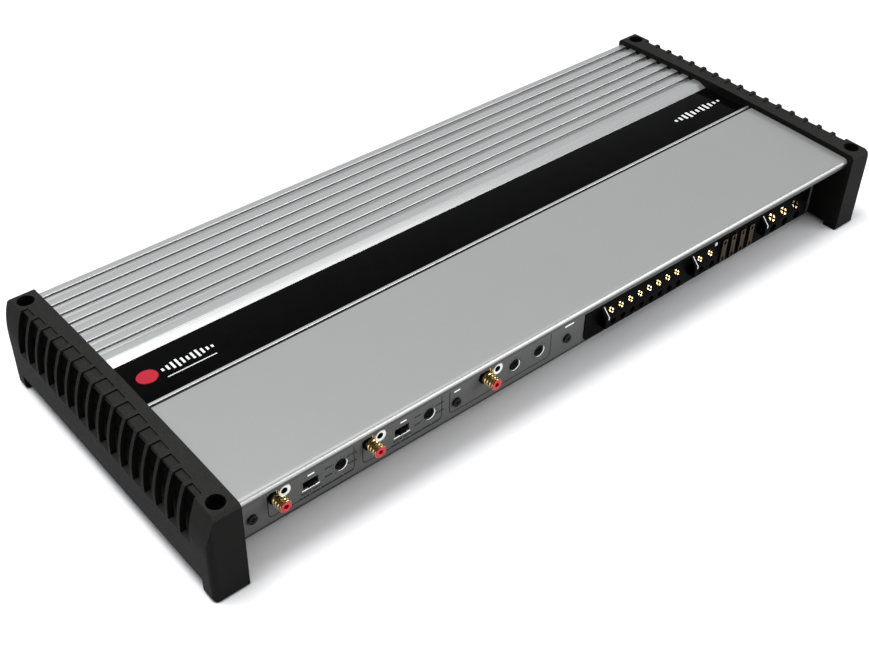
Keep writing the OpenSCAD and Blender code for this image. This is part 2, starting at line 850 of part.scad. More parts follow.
module power_transistors() {
  color([0.08, 0.08, 0.09]) for (i = [0:transistor_count - 1]) {
    x = transistor_x(i);
    block([x - 7.5, wall_in - 5.6, 20], [x + 7.5, wall_in - 0.6, 40]);
    for (k = [-1, 0, 1]) block([x + k * 5 - 0.6, wall_in - 4.6, board_top], [x + k * 5 + 0.6, wall_in - 4, 20 + eps]);
  }
}

module insulator_strip() {
  color([0.85, 0.85, 0.80]) difference() {
    block([-242, wall_in - 0.6, 17], [242, wall_in, 43]);
    for (x = clamp_screw_x) rod_y(x, clamp_z, 1.6, wall_in - 2, wall_in + 1);
  }
}

module clamp_bar() {
  color(silver) difference() {
    block([-240, wall_in - 9.6, clamp_z - 4], [240, wall_in - 5.6, clamp_z + 4]);
    for (x = clamp_screw_x) rod_y(x, clamp_z, 1.6, wall_in - 12, wall_in);
  }
}

module clamp_screws() {
  color(steel) for (x = clamp_screw_x) translate([x, wall_in - 9.6, clamp_z])
    rotate([90, 0, 0]) pan_screw(2.8, 1.8, 1.25, 12);
}

left_end_cap();
right_end_cap();
end_cap_screws();
heatsink();
trim_strip();
trim_badge();
top_cover();
connector_panel();
bottom_plate();
bottom_screws();
panel_screws();
panel_brackets();
terminal_plate();
rca_housings();
rca_shells();
rca_red_inserts();
rca_white_inserts();
switch_bodies();
switch_slider_1();
switch_slider_2();
pot_bodies();
crossover_knob_1();
crossover_knob_2();
bass_knob_1();
bass_knob_2();
level_knob_1();
level_knob_2();
level_knob_3();
speaker_terminal_block();
sub_terminal_block();
power_terminal_block();
speaker_terminal_cages();
sub_terminal_cages();
power_terminal_cages();
speaker_terminal_screws();
sub_terminal_screws();
power_terminal_screws();
fuse_holder();
fuse_clips();
fuse_body_1();
fuse_body_2();
fuse_body_3();
fuse_body_4();
fuse_blades_1();
fuse_blades_2();
fuse_blades_3();
fuse_blades_4();
led_lens();
main_board();
board_standoffs();
board_screws();
toroid_windings();
toroid_clamps();
bulk_capacitors();
filter_coils();
power_transistors();
insulator_strip();
clamp_bar();
clamp_screws();
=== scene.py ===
import json
import math

import bmesh
import bpy
from mathutils import Matrix, Vector

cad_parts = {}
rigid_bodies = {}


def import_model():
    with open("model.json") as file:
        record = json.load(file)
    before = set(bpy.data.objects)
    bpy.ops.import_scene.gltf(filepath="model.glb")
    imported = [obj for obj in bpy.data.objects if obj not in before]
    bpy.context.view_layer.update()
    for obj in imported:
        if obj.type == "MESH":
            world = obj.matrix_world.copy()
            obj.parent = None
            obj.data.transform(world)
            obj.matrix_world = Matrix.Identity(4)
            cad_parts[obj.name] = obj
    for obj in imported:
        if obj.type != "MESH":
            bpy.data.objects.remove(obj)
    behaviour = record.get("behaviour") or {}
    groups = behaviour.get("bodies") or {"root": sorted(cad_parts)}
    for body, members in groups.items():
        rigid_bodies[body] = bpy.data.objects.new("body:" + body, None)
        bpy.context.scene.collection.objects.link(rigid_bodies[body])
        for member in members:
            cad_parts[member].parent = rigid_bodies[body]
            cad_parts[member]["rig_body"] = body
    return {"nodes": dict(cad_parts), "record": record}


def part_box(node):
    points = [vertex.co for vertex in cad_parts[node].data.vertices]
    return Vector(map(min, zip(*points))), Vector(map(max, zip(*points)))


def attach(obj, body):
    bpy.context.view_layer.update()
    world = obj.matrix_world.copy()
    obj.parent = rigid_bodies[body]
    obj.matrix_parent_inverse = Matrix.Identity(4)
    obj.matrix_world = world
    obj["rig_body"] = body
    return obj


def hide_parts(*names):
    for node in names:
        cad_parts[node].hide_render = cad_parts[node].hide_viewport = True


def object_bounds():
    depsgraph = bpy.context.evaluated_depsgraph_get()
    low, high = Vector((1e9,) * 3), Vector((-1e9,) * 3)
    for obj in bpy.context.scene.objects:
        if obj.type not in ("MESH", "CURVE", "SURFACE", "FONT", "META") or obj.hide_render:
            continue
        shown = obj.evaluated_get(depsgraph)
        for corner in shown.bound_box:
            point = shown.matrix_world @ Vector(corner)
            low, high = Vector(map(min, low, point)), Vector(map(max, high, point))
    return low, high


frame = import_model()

CAD_BOX = [list(corner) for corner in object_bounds()]
MM = 0.001
ROOT = "chassis"
HALF_DEPTH = CAD_BOX[1][1] / MM
ARCH_DROP = 2.4          # how far the top falls from its crown to the front and back edges, in millimetres
FIN_COUNT = 7
FIN_PITCH = 11.33
VENT_COUNT = 16
VENT_PITCH = 12.47
VENT_MIDDLE = 0.6
VENT_WIDTH = 9.5


# ------------------------------------------------------------------ shaders
class Shader:
    """A short way to write one procedural material."""

    def __init__(self, name, color, rough, metallic=0.0, **inputs):
        self.material = bpy.data.materials.new(name)
        self.material.use_nodes = True
        self.tree = self.material.node_tree
        self.bsdf = self.tree.nodes["Principled BSDF"]
        self.color = (*color, 1.0)
        self.bsdf.inputs["Base Color"].default_value = self.color
        self.bsdf.inputs["Roughness"].default_value = rough
        self.bsdf.inputs["Metallic"].default_value = metallic
        for key, value in inputs.items():
            self.bsdf.inputs[key.replace("_", " ")].default_value = value
        self.coordinates = self.node("ShaderNodeTexCoord").outputs["Object"]

    def node(self, kind, **settings):
        made = self.tree.nodes.new(kind)
        for key, value in settings.items():
            setattr(made, key, value)
        return made

    def link(self, source, target):
        self.tree.links.new(source, target)

    def noise(self, scale, detail=3.0, stretch=(1, 1, 1), roughness=0.55):
        """Noise with `scale` cells to the metre, stretched along the row's axes."""
        mapping = self.node("ShaderNodeMapping")
        mapping.inputs["Scale"].default_value = stretch
        self.link(self.coordinates, mapping.inputs["Vector"])
        made = self.node("ShaderNodeTexNoise")
        made.inputs["Scale"].default_value = scale
        made.inputs["Detail"].default_value = detail
        made.inputs["Roughness"].default_value = roughness
        self.link(mapping.outputs["Vector"], made.inputs["Vector"])
        return made.outputs["Fac"]

    def spread(self, value, low, high, start=0.3, end=0.7):
        """Maps value from start..end to low..high."""
        made = self.node("ShaderNodeMapRange")
        made.inputs["From Min"].default_value = start
        made.inputs["From Max"].default_value = end
        made.inputs["To Min"].default_value = low
        made.inputs["To Max"].default_value = high
        self.link(value, made.inputs["Value"])
        return made.outputs["Result"]

    def tint(self, value, other, previous=None):
        """Mixes the colour, or a colour made before, towards another one by value."""
        made = self.node("ShaderNodeMix", data_type="RGBA")
        made.inputs["A"].default_value = self.color
        if previous is not None:
            self.link(previous, made.inputs["A"])
        made.inputs["B"].default_value = (*other, 1.0)
        self.link(value, made.inputs["Factor"])
        self.link(made.outputs["Result"], self.bsdf.inputs["Base Color"])
        return made.outputs["Result"]

    def upright(self, start, end):
        """1 on faces whose normal rises less than `start`, falling to 0 at `end`; the mask for painted shade on
        upright faces.
        """
        normal = self.node("ShaderNodeSeparateXYZ")
        self.link(self.node("ShaderNodeTexCoord").outputs["Normal"], normal.inputs["Vector"])
        return self.spread(normal.outputs["Z"], 1.0, 0.0, start, end)

    def math(self, operation, first, second):
        """The result of a maths node on two values, each a socket or a plain number."""
        made = self.node("ShaderNodeMath", operation=operation)
        for socket, value in zip(made.inputs, (first, second)):
            if isinstance(value, float):
                socket.default_value = value
            else:
                self.link(value, socket)
        return made.outputs["Value"]

    def rough(self, value):
        self.link(value, self.bsdf.inputs["Roughness"])

    def bump(self, value, depth, strength=1.0, below=None):
        """Bump of `depth` metres."""
        made = self.node("ShaderNodeBump")
        made.inputs["Strength"].default_value = strength
        made.inputs["Distance"].default_value = depth
        self.link(value, made.inputs["Height"])
        if below is not None:
            self.link(below, made.inputs["Normal"])
        self.link(made.outputs["Normal"], self.bsdf.inputs["Normal"])
        return made.outputs["Normal"]


def powder_coat(name, color, speckle, rough=0.62):
    """Sand-textured coat: grains of about half a millimetre, with paler tips, and painted shade darkening
    upright faces.
    """
    shader = Shader(name, color, rough, Specular_IOR_Level=0.06)
    grain = shader.noise(2300, detail=2.5)
    cloud = shader.noise(60, detail=3)
    first = shader.tint(shader.spread(grain, 0.0, 0.75, 0.42, 0.72), speckle)
    second = shader.tint(shader.spread(cloud, 0.0, 0.25), tuple(c * 0.6 for c in color), first)
    # Painted shade: upright faces darkened to a third of the colour.
    shader.tint(shader.upright(0.15, 0.6), tuple(c * 0.35 for c in color), second)
    shader.rough(shader.spread(grain, rough + 0.10, rough - 0.12, 0.35, 0.7))
    broad = shader.bump(shader.noise(700, detail=2), 0.00006, 0.35)
    shader.bump(grain, 0.00009, 0.8, below=broad)
    return shader.material


def drawn_aluminium(name, color, rough=0.30, metallic=1.0, shade_grooves=False):
    """Satin extrusion: fine lines along X, with faint clouding, painted shade darkening upright faces, and,
    when asked, painted shade on the groove floors.
    """
    shader = Shader(name, color, rough, metallic=metallic)
    lines = shader.noise(900, detail=4, stretch=(0.006, 1, 1), roughness=0.7)
    broad = shader.noise(110, detail=2, stretch=(0.02, 1, 1))
    grain = shader.noise(3200, detail=1)
    first = shader.tint(shader.spread(lines, 0.0, 0.5), tuple(c * 0.80 for c in color))
    second = shader.tint(shader.spread(broad, 0.0, 0.35), tuple(min(1, c * 1.10) for c in color), first)
    # Painted shade: upright faces darkened to about a third of the colour.
    third = shader.tint(shader.upright(0.15, 0.5), tuple(c * 0.35 for c in color), second)
    if shade_grooves:
        # Painted shade on the groove floors beside each step.
        shader.tint(painted_groove_shade(shader), tuple(c * 0.45 for c in color), third)
    shader.rough(shader.spread(lines, rough - 0.05, rough + 0.10))
    soft = shader.bump(lines, 0.000020, 0.3)
    shader.bump(grain, 0.000010, 0.25, below=soft)
    return shader.material


def painted_groove_shade(shader):
    """Painted shade mask: 1 on a groove's floor beside its step, 0 a millimetre lower and on the crests."""
    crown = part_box("heatsink")[1].z
    curve = ARCH_DROP * MM / (HALF_DEPTH * MM) ** 2
    position = shader.node("ShaderNodeSeparateXYZ")
    shader.link(shader.coordinates, position.inputs["Vector"])
    fall = shader.math("MULTIPLY", shader.math("POWER", position.outputs["Y"], 2.0), curve)
    depth = shader.math("SUBTRACT", shader.math("SUBTRACT", crown, fall), position.outputs["Z"])
    # In metres below the arch: the foot of the step, then the floor sloping away, behind the flat land
    low = shader.spread(depth, 0.0, 1.0, 0.0012, 0.0017)
    fade = shader.spread(depth, 1.0, 0.0, 0.0020, 0.0027)
    fins = shader.spread(position.outputs["Y"], 0.0, 1.0, 0.0290, 0.0300)
    return shader.math("MULTIPLY", shader.math("MULTIPLY", low, fade), fins)


def metallic_paint(name, color, flake):
    """Matte silver lacquer with fine flakes and a slight orange peel, with painted shade making upright faces
    dark.
    """
    shader = Shader(name, color, 0.36, metallic=0.60, Specular_IOR_Level=0.5)
    flakes = shader.noise(3800, detail=1)
    cloud = shader.noise(25, detail=3)
    first = shader.tint(shader.spread(flakes, 0.0, 0.55, 0.45, 0.75), flake)
    second = shader.tint(shader.spread(cloud, 0.0, 0.12), tuple(c * 0.88 for c in color), first)
    # Painted shade: upright faces, such as the cover's front face, darkened to a tenth of the colour.
    shader.tint(shader.upright(0.02, 0.26), tuple(c * 0.10 for c in color), second)
    shader.rough(shader.spread(flakes, 0.36, 0.28))
    shader.bump(shader.noise(520, detail=2), 0.00003, 0.25)
    return shader.material


def gloss(name, color, rough=0.06, level=0.5):
    """Smooth moulded or lacquered surface, with a trace of waviness."""
    shader = Shader(name, color, rough, Specular_IOR_Level=level)
    wave = shader.noise(90, detail=2)
    shader.rough(shader.spread(shader.noise(600, detail=3), rough, rough + 0.06))
    shader.tint(shader.spread(wave, 0.0, 0.3), tuple(c * 0.8 + 0.002 for c in color))
    shader.bump(wave, 0.00004, 0.10)
    return shader.material


def moulded(name, color, rough=0.5, level=0.16):
    """Plain moulded plastic with a fine spark-eroded grain."""
    shader = Shader(name, color, rough, Specular_IOR_Level=level)
    grain = shader.noise(3000, detail=2)
    shader.tint(shader.spread(grain, 0.0, 0.4), tuple(c * 1.5 + 0.001 for c in color))
    shader.rough(shader.spread(grain, rough + 0.08, rough - 0.08))
    shader.bump(grain, 0.00003, 0.5)
    return shader.material


def plated(name, color, rough=0.16):
    """Plated metal with faint turning marks and tarnish."""
    shader = Shader(name, color, rough, metallic=1.0)
    marks = shader.noise(2600, detail=3)
    tarnish = shader.noise(420, detail=3)
    shader.tint(shader.spread(tarnish, 0.0, 0.5, 0.45, 0.75), tuple(c * 0.62 for c in color))
    shader.rough(shader.spread(marks, rough, rough + 0.14))
    shader.bump(marks, 0.00001, 0.4)
    return shader.material


def grey_panel(name, color):
    """Painted sheet with a faint texture."""
    shader = Shader(name, color, 0.48, Specular_IOR_Level=0.2)
    grain = shader.noise(2600, detail=2)
    shader.tint(shader.spread(grain, 0.0, 0.5), tuple(c * 1.25 for c in color))
    shader.rough(shader.spread(grain, 0.55, 0.42))
    shader.bump(grain, 0.00003, 0.5)
    return shader.material


def tinted_clear(name, color, rough=0.08):
    """Clear tinted moulding: partly see-through."""
    shader = Shader(name, color, rough, Transmission_Weight=0.75, IOR=1.49, Specular_IOR_Level=0.15)
    shader.tint(shader.spread(shader.noise(500, detail=2), 0.0, 0.4), tuple(c * 0.6 for c in color))
    shader.bump(shader.noise(700), 0.00002, 0.3)
    return shader.material


def enamelled_wire(name, color, turn):
    """Windings: fine ridges round the ring, `turn` ridges to the metre."""
    shader = Shader(name, color, 0.3, metallic=0.7, Coat_Weight=0.4)
    wave = shader.node("ShaderNodeTexWave", wave_type="RINGS", rings_direction="Z")
    wave.inputs["Scale"].default_value = turn
    wave.inputs["Distortion"].default_value = 1.5
    shader.link(shader.coordinates, wave.inputs["Vector"])
    shader.tint(wave.outputs["Fac"], tuple(c * 0.45 for c in color))
    shader.bump(wave.outputs["Fac"], 0.0002, 0.6)
    return shader.material


LOOKS = {
    "cap_charcoal": powder_coat("cap_charcoal", (0.0108, 0.0112, 0.0096), (0.032, 0.032, 0.028)),
    "fin_aluminium": drawn_aluminium("fin_aluminium", (0.54, 0.55, 0.54), 0.27, 0.85, shade_grooves=True),
    "cover_silver": metallic_paint("cover_silver", (0.33, 0.336, 0.328), (0.39, 0.396, 0.388)),
    "gloss_black": gloss("gloss_black", (0.0012, 0.0012, 0.0012), level=0.02),
    "badge_red": gloss("badge_red", (0.32, 0.008, 0.020), 0.12, level=0.3),
    "panel_grey": grey_panel("panel_grey", (0.092, 0.095, 0.091)),
    "base_black": grey_panel("base_black", (0.030, 0.030, 0.030)),
    "screw_steel": plated("screw_steel", (0.45, 0.45, 0.46), 0.28),
    "screw_black": plated("screw_black", (0.03, 0.03, 0.03), 0.30),
    "terminal_black": moulded("terminal_black", (0.0012, 0.0012, 0.0014), 0.45, 0.03),
    "gold_plate": plated("gold_plate", (0.86, 0.64, 0.28), 0.09),
    "insert_red": gloss("insert_red", (0.55, 0.010, 0.022), 0.22),
    "insert_white": gloss("insert_white", (0.78, 0.78, 0.75), 0.25),
    "knob_black": moulded("knob_black", (0.0015, 0.0015, 0.0015), 0.40, 0.06),
    "pot_blue": moulded("pot_blue", (0.02, 0.04, 0.12), 0.4),
    "fuse_amber": tinted_clear("fuse_amber", (0.075, 0.036, 0.004)),
    "blade_zinc": plated("blade_zinc", (0.60, 0.60, 0.58), 0.25),
    "led_clear": gloss("led_clear", (0.62, 0.66, 0.90), 0.10),
    "board_green": gloss("board_green", (0.008, 0.07, 0.02), 0.3),
    "winding_copper": enamelled_wire("winding_copper", (0.60, 0.24, 0.09), 900),
    "clamp_plastic": moulded("clamp_plastic", (0.012, 0.012, 0.012)),
    "capacitor_sleeve": gloss("capacitor_sleeve", (0.010, 0.018, 0.08), 0.25),
    "transistor_epoxy": moulded("transistor_epoxy", (0.010, 0.010, 0.012)),
    "insulator_grey": moulded("insulator_grey", (0.35, 0.35, 0.32), 0.7),
    "bar_aluminium": drawn_aluminium("bar_aluminium", (0.60, 0.60, 0.60), 0.38),
}
PRINT_DARK = moulded("print_dark", (0.010, 0.010, 0.010), 0.55)
# Black for painted shade: sheets and plates set where there is only shade.
SHADE_BLACK = moulded("shade_black", (0.0008, 0.0008, 0.0008), 0.8, level=0.01)
PRINT_LIGHT = moulded("print_light", (0.50, 0.51, 0.50), 0.5)
# White for print, and for the painted highlights round the knob holes.
PRINT_AND_HIGHLIGHT_WHITE = moulded("print_and_highlight_white", (0.95, 0.95, 0.94), 0.45)
SLOT_OF = {s["node"]: s["material_slot"] for s in frame["record"]["subparts"]}


# ------------------------------------------------------------------- meshes
def place(obj, material, replaced=()):
    """Gives a finished piece its material and body, and hides what it stands for."""
    obj.data.materials.clear()
    obj.data.materials.append(material)
    body = ROOT
    if replaced:
        body = frame["nodes"][replaced[0]]["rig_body"]
        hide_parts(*replaced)
    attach(obj, body)
    return obj


def to_object(name, bm):
    mesh = bpy.data.meshes.new(name)
    bmesh.ops.recalc_face_normals(bm, faces=bm.faces)
    bm.to_mesh(mesh)
    bm.free()
    obj = bpy.data.objects.new(name, mesh)
    bpy.context.scene.collection.objects.link(obj)
    return obj


def smooth(obj, angle=32):
    obj.data.shade_smooth()
    obj.data.set_sharp_from_angle(angle=math.radians(angle))


def bevel(obj, width, segments=2, angle=32):
    made = obj.modifiers.new("edges", "BEVEL")
    made.width = width * MM
    made.segments = segments
    made.limit_method = "ANGLE"
    made.angle_limit = math.radians(angle)
    made.harden_normals = False


def refine(node, width, segments=2, angle=32):
    """The CAD node again, with its flat faces whole and its edges broken by a small radius."""
    bm = bmesh.new()
    bm.from_mesh(frame["nodes"][node].data)
    bmesh.ops.remove_doubles(bm, verts=bm.verts, dist=0.002 * MM)
    bmesh.ops.dissolve_limit(bm, angle_limit=math.radians(0.4), verts=bm.verts, edges=bm.edges)
    obj = to_object(node + "_shell", bm)
    smooth(obj, angle)
    if width:
        bevel(obj, width, segments, angle)
        normals = obj.modifiers.new("normals", "WEIGHTED_NORMAL")
        normals.keep_sharp = True
    slot = SLOT_OF[node]
    return place(obj, LOOKS[slot], [node])


def filleted(points, steps=4):
    """A closed outline of (y, z, radius) corners, with each corner of radius > 0 turned into an arc."""
    out = []
    count = len(points)
    for i, (y, z, r) in enumerate(points):
        corner = Vector((y, z))
        if r <= 0:
            out.append(corner)
            continue
        before = (Vector(points[i - 1][:2]) - corner).normalized()
        after = (Vector(points[(i + 1) % count][:2]) - corner).normalized()
        half = before.angle(after) / 2
        if half > math.radians(89):
            out.append(corner)
            continue
        reach = r / math.tan(half)
        centre = corner + (before + after).normalized() * (r / math.sin(half))
        first = corner + before * reach - centre
        last = corner + after * reach - centre
        turn = first.angle_signed(last)
        for k in range(steps + 1):
            out.append(centre + Matrix.Rotation(-turn * k / steps, 2) @ first)
    return out


def extruded_x(name, outline, x0, x1):
    """A closed Y-Z outline in millimetres, carried from x0 to x1."""
    bm = bmesh.new()
    ends = [[bm.verts.new((x * MM, p[0] * MM, p[1] * MM)) for p in outline] for x in (x0, x1)]
    count = len(outline)
    for i in range(count):
        j = (i + 1) % count
        bm.faces.new((ends[0][i], ends[0][j], ends[1][j], ends[1][i]))
    for ring in ends:
        bm.faces.new(ring)
    return to_object(name, bm)


def add_box(bm, lo, hi):
    """A box between two corners in millimetres."""
    centre = (Vector(lo) + Vector(hi)) / 2 * MM
    size = (Vector(hi) - Vector(lo)) * MM
    matrix = Matrix.Translation(centre) @ Matrix.Diagonal((*size, 1))
    bmesh.ops.create_cube(bm, size=1, matrix=matrix)


def lathe(bm, profile, place_at, steps=40):
    """Turns a closed profile of (radius, height) millimetres about a local Z, set by a matrix."""
    rings = []
    for k in range(steps):
        a = math.tau * k / steps
        rings.append([
            bm.verts.new(place_at @ Vector((r * math.cos(a) * MM, r * math.sin(a) * MM, h * MM)))
            for r, h in profile
        ])
    for k in range(steps):
        here, there = rings[k], rings[(k + 1) % steps]
        for i in range(len(profile)):
            j = (i + 1) % len(profile)
            bm.faces.new((here[i], here[j], there[j], there[i]))


def box_mm(node):
    lo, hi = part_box(node)
    return lo / MM, hi / MM


def centre_mm(node):
    lo, hi = box_mm(node)
    return (lo + hi) / 2


# --------------------------------------------------------------- aluminium
def arch(top, y):
    """Height of the arched top at y, with its crown at `top`."""
    return top - ARCH_DROP * (y / HALF_DEPTH) ** 2


def heatsink():
    """Finned body: flat crests with an eased front edge, stepped grooves, the sloping band and bead."""
    lo, hi = box_mm("heatsink")
    top, back = hi.z, hi.y
    strip_lo, strip_hi = box_mm("trim_strip")
    cover_lo, cover_hi = box_mm("top_cover")
    wall = back - 6
    slab = top - 10.8
    points = [(wall, lo.z, 0), (back, lo.z, 0.6)]
    for z in (26, 36, 46):
        points += [
            (back, z - 2.8, 0.5), (back - 3, z - 0.8, 0.3), (back - 3, z + 0.8, 0.3), (back, z + 2.8, 0.5),
        ]
    points.append((back, arch(top, back), 2.6))
    for i in range(FIN_COUNT):
        y = back - 6.8 - i * FIN_PITCH
        z = arch(top, y)
        points += [
            (y, z, 0.55), (y - 0.15, z - 1.9, 0.8),
            (y - 5.1, z - 3.3, 0.3), (y - 5.1, arch(top, y - 5.1), 0.25),
        ]
    land = 29.4
    behind, before = strip_hi.y + 0.1, strip_lo.y - 0.2
    bead = strip_lo.y - 2.3
    panel_back = -88.3
    points += [
        (land, arch(top, land), 0.8), (behind, strip_hi.z, 0.2), (behind, strip_lo.z, 0),
        (before, strip_lo.z, 0), (before, top, 0.5), (bead, top, 0.5),
        (bead, cover_hi.z - 3.1, 0), (lo.y, cover_hi.z - 5.2, 0), (lo.y, cover_lo.z, 0),
        (panel_back, cover_lo.z, 0), (panel_back, slab, 0), (wall, slab, 0),
    ]
    obj = extruded_x("heatsink_extrusion", filleted(points), lo.x, hi.x)
    smooth(obj, 40)
    return place(obj, LOOKS["fin_aluminium"], ["heatsink"])


def top_cover():
    """Front cover following the arch, with a full bullnose and a returned lip."""
    lo, hi = box_mm("top_cover")
    nose = 3.2
    crown = 2 * hi.z - arch(hi.z, hi.y)
    lip = lo.y + 3.05
    count = 24
    line = [hi.y + (lip - hi.y) * k / count for k in range(count + 1)]
    points = [(y, arch(crown, y) - 3, 0) for y in reversed(line)]
    points += [(hi.y, hi.z, 0.45)] + [(y, arch(crown, y), 0) for y in line[1:-1]]
    points += [(lo.y, arch(crown, lo.y), nose), (lo.y, lo.z, 0.5), (lip, lo.z, 0.2)]
    obj = extruded_x("top_cover_skin", filleted(points, 8), lo.x, hi.x)
    smooth(obj, 50)
    return place(obj, LOOKS["cover_silver"], ["top_cover"])


def vent_shade_sheets():
    """Painted shade: a black sheet behind each cap's vents."""
    lo, hi = box_mm("heatsink")
    bm = bmesh.new()
    for x in (lo.x - 3.15, hi.x + 3.05):
        add_box(bm, (x, -98, 30.2), (x + 0.1, 98, 58.4))
    return place(to_object("vent_shade_sheets", bm), SHADE_BLACK)


def vent_shades():
    """Painted shade: black faces over the recess above each vent, bulged like the cap, so that the dark slots
    reach its edge.
    """
    reach, bulge = 70.2, 72
    middle = Vector((box_mm("right_end_cap")[1].x - bulge, 36.0))
    half = VENT_WIDTH / 2
    rear_vent = VENT_MIDDLE + (VENT_COUNT - 1) * VENT_PITCH / 2
    bm = bmesh.new()
    for side in (-1, 1):
        for i in range(VENT_COUNT):
            y = rear_vent - i * VENT_PITCH
            rows = []
            for z in (56.9, 58.5, 60.0, 61.5, 63.0, 64.3):
                ring = []
                for lift, dy in ((0.12, -half), (0.12, half), (-0.2, half), (-0.2, -half)):
                    x = middle.x + math.sqrt((reach + lift) ** 2 - (z - middle.y) ** 2)
                    ring.append(bm.verts.new((side * x * MM, (y + dy) * MM, z * MM)))
                rows.append(ring)
            for low, high in zip(rows, rows[1:]):
                for a in range(4):
                    b = (a + 1) % 4
                    bm.faces.new((low[a], low[b], high[b], high[a]))
            bm.faces.new(rows[0])
            bm.faces.new(rows[-1])
    return place(to_object("vent_shades", bm), SHADE_BLACK)


def trim_strip():
    """Gloss strip, with eased long edges."""
    lo, hi = box_mm("trim_strip")
    points = [(hi.y, lo.z, 0), (hi.y, hi.z, 0.3), (lo.y, hi.z, 0.3), (lo.y, lo.z, 0)]
    obj = extruded_x("trim_strip_gloss", filleted(points), lo.x, hi.x)
    smooth(obj, 50)
    return place(obj, LOOKS["gloss_black"], ["trim_strip"])


def trim_badge():
    """Plain domed badge with a stepped rim, slightly oval."""
    lo, hi = box_mm("trim_badge")
    radius = (hi.x - lo.x) / 2
    rise = hi.z - lo.z
    profile = [
        (0.001, 0), (radius, 0), (radius, rise - 0.25), (radius - 0.2, rise), (radius * 0.88, rise),
        (radius * 0.84, rise - 0.14),
    ]
    for a in map(math.radians, range(0, 90, 10)):
        profile.append((radius * 0.80 * math.cos(a), rise - 0.12 + 0.12 * math.sin(a)))
    profile.append((0.001, rise))
    bm = bmesh.new()
    centre = Vector(((lo.x + hi.x) / 2, (lo.y + hi.y) / 2, lo.z)) * MM
    lathe(bm, profile, Matrix.Translation(centre) @ Matrix.Diagonal((1.06, 0.90, 1, 1)), 64)
    obj = to_object("trim_badge_dome", bm)
    smooth(obj, 40)
    return place(obj, LOOKS["badge_red"], ["trim_badge"])


def strip_marks():
    """Plain bars of uneven height beside the badge, over a thin line, and at the strip's far end."""
    face = box_mm("trim_strip")[1].z
    below, above = face - 0.05, face + 0.03
    bm = bmesh.new()
    heights = (2.4, 4.2, 6.2, 7.4, 5.2, 3.8, 6.0, 6.8, 4.8, 3.0, 2.2)
    for x0, middle, pitch in ((-240.4, 3.9, 3.4), (207.3, 3.5, 4.8)):
        for i, h in enumerate(heights):
            x = x0 + i * pitch
            add_box(bm, (x, middle - h / 2, below), (x + pitch * 0.46, middle + h / 2, above))
    add_box(bm, (-240.4, -3.7, below), (-206.9, -3.0, above))
    return place(to_object("strip_marks", bm), PRINT_LIGHT)


# ------------------------------------------------------------- connector bay
JACKS = (-228.0, -160.5, -68.5)
JACK_ROWS = [centre_mm(f"rca_{colour}_inserts").z for colour in ("red", "white")]
SWITCHES = [centre_mm(f"switch_slider_{i}").x for i in (1, 2)]
CROSSOVERS = [centre_mm(f"crossover_knob_{i}") for i in (1, 2)]
BASSES = [centre_mm(f"bass_knob_{i}") for i in (1, 2)]
LEVELS = [centre_mm(f"level_knob_{i}") for i in (1, 2, 3)]
KNOBS = CROSSOVERS + BASSES + LEVELS
PANEL_FACE = box_mm("connector_panel")[0].y
PRINT_FRONT = PANEL_FACE - 0.04
PRINT_BACK = PANEL_FACE + 0.02
TERMINALS = (  # block, first screw's x, pitch, screws, head radius
    ("speaker_terminal_block", 41.5, 9.33, 8, 2.4),
    ("sub_terminal_block", 131.0, 11.0, 2, 2.4),
    ("power_terminal_block", 211.3, 13.6, 3, 3.6),
)
SLOPE = 5.6              # height and depth of a terminal block's bevelled top


def add_frame(bm, x0, x1, z0, z1, radius, width):
    """A printed round-cornered frame on the panel."""
    outer, inner = [], []
    for cx, cz, a0 in ((x1 - radius, z1 - radius, 0), (x0 + radius, z1 - radius, 90),
                       (x0 + radius, z0 + radius, 180), (x1 - radius, z0 + radius, 270)):
        for k in range(7):
            a = math.radians(a0 + 15 * k)
            for ring, r in ((outer, radius), (inner, radius - width)):
                ring.append((cx + r * math.cos(a), cz + r * math.sin(a)))
    verts = []
    for ring, y in ((outer, PRINT_FRONT), (inner, PRINT_FRONT), (inner, PRINT_BACK), (outer, PRINT_BACK)):
        verts.append([bm.verts.new((x * MM, y * MM, z * MM)) for x, z in ring])
    count = len(outer)
    for i in range(count):
        j = (i + 1) % count
        for a in range(4):
            b = (a + 1) % 4
            bm.faces.new((verts[a][i], verts[a][j], verts[b][j], verts[b][i]))


def add_bar(bm, x0, x1, z0, z1):
    """A printed bar on the panel."""
    add_box(bm, (x0, PRINT_FRONT, z0), (x1, PRINT_BACK, z1))


def panel_print():
    """Section frames and the tick marks round the knobs."""
    bm = bmesh.new()
    for x0, x1 in ((-233.7, -171.8), (-166.0, -104.0), (-98.2, -10.8)):
        add_frame(bm, x0, x1, 8.6, 51.4, 3.5, 0.6)
    for knob in KNOBS:
        for k in range(11):
            a = math.radians(-50 + 28 * k)
            tick = Matrix.Translation((knob.x * MM, (PANEL_FACE - 0.01) * MM, knob.z * MM))
            tick = tick @ Matrix.Rotation(-a, 4, "Y") @ Matrix.Translation((5.9 * MM, 0, 0))
            tick = tick @ Matrix.Diagonal((1.3 * MM, 0.06 * MM, 0.35 * MM, 1))
            bmesh.ops.create_cube(bm, size=1, matrix=tick)
    return place(to_object("panel_print", bm), PRINT_DARK)


